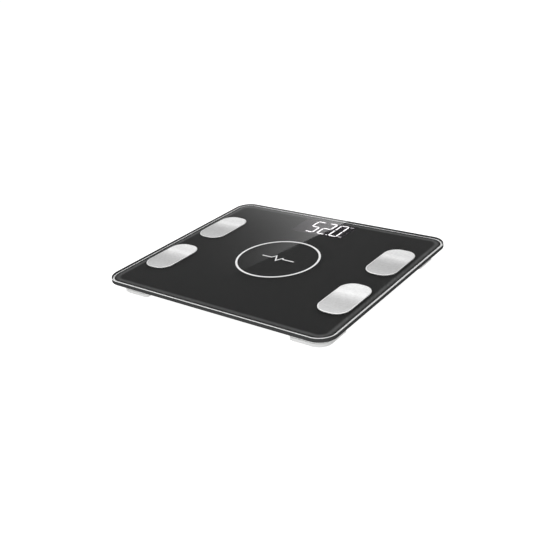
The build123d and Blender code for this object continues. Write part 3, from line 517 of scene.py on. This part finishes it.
def plated_metal(name, colour, roughness):
    """Bare plating, with soft patches that differ a little in shade and gloss."""
    tree = new_material(name)
    patch = noise(tree, object_place(tree), scale=260, detail=4)
    dark = tuple(PATCH_SHADE * part for part in colour)
    spread = PATCH_GLOSS_SPREAD * roughness
    show(tree, principled(tree, {
        "Base Color": between(tree, patch, dark, colour),
        "Metallic": 1.0,
        "Roughness": uneven(tree, patch, roughness - spread, roughness + spread),
    }))


UNIT_MARK_WIDTH = 4.6 * MM
UNIT_MARK_LEVEL = 0.42
DIGIT_GLOW = 5.0


def lit_segment():
    """Bright white digits, with the small unit marks at their right end much dimmer."""
    tree = new_material("lit_segment")
    place = object_place(tree)
    haze = noise(tree, place, scale=500, detail=2)
    marks_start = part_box("lit_segments")[1].x - UNIT_MARK_WIDTH
    on_mark = computed(tree, "GREATER_THAN", part_of(tree, place, X), marks_start)
    digits = between(tree, haze, (0.94, 0.97, 0.95), (0.99, 1.0, 0.97))
    paint = between(tree, on_mark, digits, grey(UNIT_MARK_LEVEL))
    show(tree, shader(tree, "Emission", {"Color": paint, "Strength": DIGIT_GLOW}))


FILM_TINT = 0.2


def smoked_film():
    """A dark tinted film, see-through where the segments light it from below."""
    tree = new_material("smoked_film")
    clear = shader(tree, "BsdfTransparent", {"Color": (0.75, 0.73, 0.75)})
    cloud = noise(tree, object_place(tree), scale=300, detail=2)
    tint = between(tree, cloud, (0.02, 0.018, 0.02), (0.03, 0.026, 0.03))
    show(tree, mixed(tree, FILM_TINT, clear, shader(tree, "BsdfDiffuse", {"Color": tint})))


PAD_REACH = 0.14


def circuit_board():
    """Green solder mask over fine copper tracks, with tinned pads in rows."""
    tree = new_material("circuit_board")
    place = object_place(tree)
    tracks = add_node(tree, "TexBrick", {
        "Vector": place,
        "Scale": 160,
        "Mortar Size": 0.05,
        "Color1": (0.010, 0.11, 0.040),
        "Color2": (0.008, 0.09, 0.035),
        "Mortar": (0.03, 0.22, 0.09),
    })
    dots = add_node(tree, "TexVoronoi", {"Vector": place, "Scale": 210, "Randomness": 0.35})
    pad = computed(tree, "LESS_THAN", dots.outputs["Distance"], PAD_REACH)
    haze = noise(tree, place, scale=120, detail=3)
    show(tree, principled(tree, {
        "Base Color": between(tree, pad, tracks.outputs["Color"], (0.62, 0.60, 0.52)),
        "Metallic": pad,
        "Roughness": uneven(tree, haze, 0.22, 0.38),
        "Normal": bump(tree, tracks.outputs["Fac"], 0.03 * MM),
    }))


# A cell's colours from its middle to its ends, by how far off its middle, in cell lengths.
BARE_END = 0.473
SLEEVE_TONES = (
    (0.0, (0.05, 0.07, 0.10)),
    (0.31, (0.55, 0.42, 0.12)),
    (0.34, (0.16, 0.18, 0.21)),
    (BARE_END, (0.6, 0.6, 0.6)),
)


def battery_sleeve():
    """A plain two-tone sleeve, with bare steel at both ends of the cell."""
    tree = new_material("battery_sleeve")
    along = part_of(tree, given(tree, "TexCoord", "Generated"), X)
    off_middle = computed(tree, "ABSOLUTE", computed(tree, "SUBTRACT", along, 0.5))
    scuff = noise(tree, object_place(tree), scale=420, detail=4)
    show(tree, principled(tree, {
        "Base Color": ramp(tree, off_middle, SLEEVE_TONES, "CONSTANT"),
        "Metallic": computed(tree, "GREATER_THAN", off_middle, BARE_END),
        "Roughness": uneven(tree, scuff, 0.22, 0.42),
        "Normal": bump(tree, scuff, 0.02 * MM, strength=0.5),
    }))


# The strands' colours, shared out by a number that each strand gets: red, white, blue, black.
STRAND_COLOURS = (
    (0.0, (0.50, 0.03, 0.03)),
    (0.3, (0.70, 0.70, 0.68)),
    (0.55, (0.03, 0.10, 0.38)),
    (0.8, (0.02, 0.02, 0.02)),
)


def wire_sleeve():
    """Soft insulation in one colour for each strand."""
    tree = new_material("wire_sleeve")
    strand = given(tree, "NewGeometry", "Random Per Island")
    dust = noise(tree, object_place(tree), scale=650, detail=3)
    show(tree, principled(tree, {
        "Base Color": ramp(tree, strand, STRAND_COLOURS, "CONSTANT"),
        "Roughness": uneven(tree, dust, 0.28, 0.46),
        "Normal": bump(tree, dust, 0.02 * MM, strength=0.5),
    }))


# Name, colour and roughness.
PLATED_METALS = (
    ("tinned_brass", (0.74, 0.72, 0.66), 0.3),
    ("zinc_steel", (0.70, 0.71, 0.73), 0.3),
    ("cell_steel", (0.62, 0.63, 0.64), 0.35),
    ("nickel_strip", (0.80, 0.78, 0.73), 0.2),
    ("shield_can", (0.72, 0.72, 0.71), 0.35),
)
# Name, darkest colour, lightest colour and roughness.
MOULDED_PLASTICS = (
    ("black_plastic", (0.012, 0.012, 0.013), (0.02, 0.02, 0.021), 0.5),
    ("dark_segment", (0.012, 0.012, 0.013), (0.018, 0.018, 0.019), 0.4),
    ("white_plastic", (0.84, 0.84, 0.835), (0.90, 0.90, 0.895), 0.45),
    ("foot_plastic", (0.85, 0.85, 0.845), (0.91, 0.91, 0.905), 0.45),
    ("ivory_plastic", (0.72, 0.69, 0.60), (0.80, 0.77, 0.68), 0.5),
    ("grey_button", (0.28, 0.29, 0.30), (0.34, 0.35, 0.36), 0.5),
)


def make_materials():
    """A finish for each of the record's slots, and four for parts that differ from their slot."""
    clear_glass()
    ground_edge()
    frosted_arris_highlight()
    black_ink()
    silver_ink("silver_ink", grey(0.84), grey(0.98), metallic=0.22)
    silver_ink("bright_silver_ink", grey(0.92), grey(1.0), metallic=0.0)
    brushed_electrode()
    electrode_rim()
    lit_segment()
    smoked_film()
    circuit_board()
    battery_sleeve()
    wire_sleeve()
    moulded_plastic("foam_tape", (0.70, 0.70, 0.69), (0.80, 0.80, 0.79), 0.85, grain=400, depth=0.08 * MM)
    moulded_plastic("foot_rubber", (0.30, 0.30, 0.30), (0.38, 0.38, 0.375), 0.8, grain=700)
    for looks in MOULDED_PLASTICS:
        moulded_plastic(*looks)
    for looks in PLATED_METALS:
        plated_metal(*looks)


# ---- mesh helpers ------------------------------------------------------------------------------

SMALLEST_RADIUS = 0.1 * MM
CAD_SMOOTH_ANGLE = radians(30)
PIECE_SMOOTH_ANGLE = radians(35)


def rounded_outline(half_x, half_y, radius, steps):
    """Points anticlockwise round a rectangle with rounded corners, from its right side."""
    points = []
    for turn, (side_x, side_y) in enumerate(((1, 1), (-1, 1), (-1, -1), (1, -1))):
        for i in range(steps + 1):
            angle = (turn + i / steps) * pi / 2
            points.append((
                side_x * (half_x - radius) + radius * cos(angle),
                side_y * (half_y - radius) + radius * sin(angle),
            ))
    return points


def rounded_levels(low, high, low_round, high_round, steps):
    """(inset, level) pairs up a side whose lower and upper rims are quarter rounds."""
    levels = []
    for i in range(steps + 1):
        angle = i / steps * pi / 2
        levels.append((low_round * (1 - sin(angle)), low + low_round * (1 - cos(angle))))
    for i in range(steps + 1):
        angle = i / steps * pi / 2
        levels.append((high_round * (1 - cos(angle)), high - high_round * (1 - sin(angle))))
    return levels


def skin(made, rings):
    """Join each ring of vertices to the next with faces, and close both ends."""
    count = len(rings[0])
    for first, second in zip(rings, rings[1:]):
        for i in range(count):
            after = (i + 1) % count
            made.faces.new((first[i], first[after], second[after], second[i]))
    made.faces.new(list(reversed(rings[0])))
    made.faces.new(rings[-1])


def slab(name, node, radius, levels, steps):
    """A closed mesh over a CAD node's outline, moved in by each level's inset, with flat ends."""
    low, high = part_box(node)
    centre = (low + high) / 2
    half = (high - low) / 2
    made = bmesh.new()
    rings = []
    for inset, z in levels:
        tight = max(radius - inset, SMALLEST_RADIUS)
        outline = rounded_outline(half.x - inset, half.y - inset, tight, steps)
        rings.append([made.verts.new((centre.x + x, centre.y + y, z)) for x, y in outline])
    skin(made, rings)
    return finish_mesh(made, name)


def finish_mesh(made, name, smooth_angle=PIECE_SMOOTH_ANGLE):
    """The object of a finished mesh, its faces turned outward and smooth up to an angle."""
    bmesh.ops.recalc_face_normals(made, faces=made.faces)
    mesh = bpy.data.meshes.new(name)
    made.to_mesh(mesh)
    made.free()
    piece = link_object(name, mesh)
    smooth(piece, smooth_angle)
    return piece


def smooth(piece, angle):
    piece.data.polygons.foreach_set("use_smooth", [True] * len(piece.data.polygons))
    piece.data.set_sharp_from_angle(angle=angle)


def dress(piece, slot, *nodes, more_finishes=()):
    """Give a new piece its finishes, put it on the platform and let it stand for CAD nodes."""
    for finish in (slot, *more_finishes):
        piece.data.materials.append(MATERIALS[finish])
    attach(piece, "platform")
    if nodes:
        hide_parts(*nodes)


# ---- pieces ------------------------------------------------------------------------------------

INK_CONTACT = 0.02 * MM
ARRIS = 0.55 * MM
FLAT_NORMAL = 0.9
GLASS_CORNER_STEPS = 28


def mark_glass_rim(mesh, arris_bottom):
    """The second finish goes on the side faces, and the third on the bevel above them."""
    for face in mesh.polygons:
        if abs(face.normal.z) < FLAT_NORMAL:
            face.material_index = 1 if face.center.z < arris_bottom else 2


def make_glass():
    """The platform's glass. It reaches into the ink a little, so no air lies between them."""
    low, high = GLASS_LOW.z, GLASS_HIGH.z
    levels = [
        (ARRIS, low - INK_CONTACT),
        (ARRIS, low),
        (0.0, low + ARRIS),
        (0.0, high - ARRIS),
        (ARRIS, high),
    ]
    glass = slab("glass_slab", "glass_platform", PLATFORM_CORNER, levels, GLASS_CORNER_STEPS)
    dress(glass, "clear_glass", "glass_platform", more_finishes=("ground_edge", "frosted_arris_highlight"))
    mark_glass_rim(glass.data, high - ARRIS)


FILM_THICKNESS = 0.1 * MM
FILM_CORNER = 0.2 * MM
FILM_CORNER_STEPS = 2


def make_window_film():
    """A thin film at the top of the CAD film's place."""
    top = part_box("display_filter")[1].z
    levels = [(0.0, top - FILM_THICKNESS), (0.0, top)]
    film = slab("window_film", "display_filter", FILM_CORNER, levels, FILM_CORNER_STEPS)
    dress(film, "smoked_film", "display_filter")


TAPE_THICKNESS = 0.1 * MM
PLATE_CORNER = 15.5 * MM
PLATE_CORNER_STEPS = 20
PLATE_LOWER_ROUND = 0.05 * MM
PLATE_UPPER_ROUND = 0.4 * MM
PLATE_ROUND_STEPS = 6
PLATE_RIM = 1.2 * MM
RIM_NORMAL = 0.2
STUD_RADIUS = 1.5 * MM
THREAD_PITCH = 0.5 * MM
THREAD_DEPTH = 0.22 * MM
THREAD_SIDES = 20
THREAD_RINGS_PER_TURN = 4


def make_stud(corner, plate_low):
    """The threaded stud under an electrode, where the CAD plate has its plain one."""
    below = [v.co for v in frame["nodes"][f"electrode_{corner}"].data.vertices if v.co.z < GLASS_LOW.z]
    middles = []
    for axis in (X, Y):
        reaches = [point[axis] for point in below]
        middles.append((min(reaches) + max(reaches)) / 2)
    low = min(point.z for point in below)
    count = round((plate_low - low) / THREAD_PITCH * THREAD_RINGS_PER_TURN)
    made = bmesh.new()
    rings = []
    for step in range(count + 1):
        rise = (plate_low - low) * step / count
        ring = []
        for side in range(THREAD_SIDES):
            share = side / THREAD_SIDES
            phase = (rise / THREAD_PITCH - share) % 1.0
            radius = STUD_RADIUS - THREAD_DEPTH * abs(2 * phase - 1)
            angle = 2 * pi * share
            place = Vector((*middles, low + rise)) + radius * Vector((cos(angle), sin(angle), 0))
            ring.append(made.verts.new(place))
        rings.append(ring)
    skin(made, rings)
    dress(finish_mesh(made, f"electrode_stud_{corner}"), "zinc_steel")


def mark_plate_rim(mesh):
    """The second finish goes on the ring of faces between the plate's side and its middle."""
    for face in mesh.polygons:
        if len(face.vertices) == 4 and face.normal.z > RIM_NORMAL:
            face.material_index = 1


def make_electrodes():
    """Plates with rolled rims on their tape, and the studs beneath them."""
    plate_low = GLASS_TOP + TAPE_THICKNESS
    for corner in CORNERS:
        node = f"electrode_{corner}"
        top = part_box(node)[1].z
        levels = rounded_levels(plate_low, top, PLATE_LOWER_ROUND, PLATE_UPPER_ROUND, PLATE_ROUND_STEPS)
        levels.append((PLATE_RIM, top))
        plate = slab(f"electrode_plate_{corner}", node, PLATE_CORNER, levels, PLATE_CORNER_STEPS)
        dress(plate, "brushed_electrode", node, more_finishes=("electrode_rim",))
        mark_plate_rim(plate.data)
        make_stud(corner, plate_low)


SPRING_TURNS = 4.5
SPRING_BASE_RADIUS = 3.2 * MM
SPRING_TIP_RADIUS = 2.4 * MM
SPRING_WIRE_RADIUS = 0.3 * MM
SPRING_SIDES = 8
SPRING_STEPS = 150
# Each cell's number, and the way its spring points along X from the contact strip.
SPRING_WAYS = ((1, -1), (2, 1), (3, -1))


def coil(made, base, way, length):
    """Add a tapered wire coil to a mesh, from a point on a contact strip along X."""
    rings = []
    for step in range(SPRING_STEPS + 1):
        share = step / SPRING_STEPS
        turn = 2 * pi * SPRING_TURNS * share
        radius = SPRING_BASE_RADIUS + (SPRING_TIP_RADIUS - SPRING_BASE_RADIUS) * share
        travel = SPRING_WIRE_RADIUS + (length - 2 * SPRING_WIRE_RADIUS) * share
        out = Vector((0, cos(turn), sin(turn)))
        centre = base + Vector((way * travel, 0, 0)) + out * radius
        ring = []
        for side in range(SPRING_SIDES):
            angle = 2 * pi * side / SPRING_SIDES
            offset = out * cos(angle) + Vector((1, 0, 0)) * sin(angle)
            ring.append(made.verts.new(centre + offset * SPRING_WIRE_RADIUS))
        rings.append(ring)
    skin(made, rings)


def make_battery_springs():
    """Real coils between each cell's flat end and its contact strip."""
    low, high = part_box("battery_springs")
    made = bmesh.new()
    for number, way in SPRING_WAYS:
        cell_low, cell_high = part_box(f"battery_{number}")
        middle = (cell_low + cell_high) / 2
        flat_end = cell_high.x if way < 0 else cell_low.x
        strip = high.x if way < 0 else low.x
        coil(made, Vector((strip, middle.y, middle.z)), way, abs(strip - flat_end))
    springs = finish_mesh(made, "battery_spring_coils", pi)
    dress(springs, "nickel_strip", "battery_springs")


# Nodes that look a little different from the rest of their slot.
OWN_FINISHES = {"border_stripe": "bright_silver_ink"}


def dress_cad_nodes():
    """Every CAD node that shows as it is gets its slot's material and smooth round faces."""
    for entry in frame["record"]["subparts"]:
        node = frame["nodes"][entry["node"]]
        node.data.materials.clear()
        finish = OWN_FINISHES.get(entry["node"], entry["material_slot"])
        node.data.materials.append(MATERIALS[finish])
        smooth(node, CAD_SMOOTH_ANGLE)


bpy.context.scene.view_settings.view_transform = "Standard"
make_camera()
make_world()
make_softboxes()
make_floor()
make_reflection_card()
make_materials()
dress_cad_nodes()
make_glass()
make_window_film()
make_electrodes()
make_battery_springs()
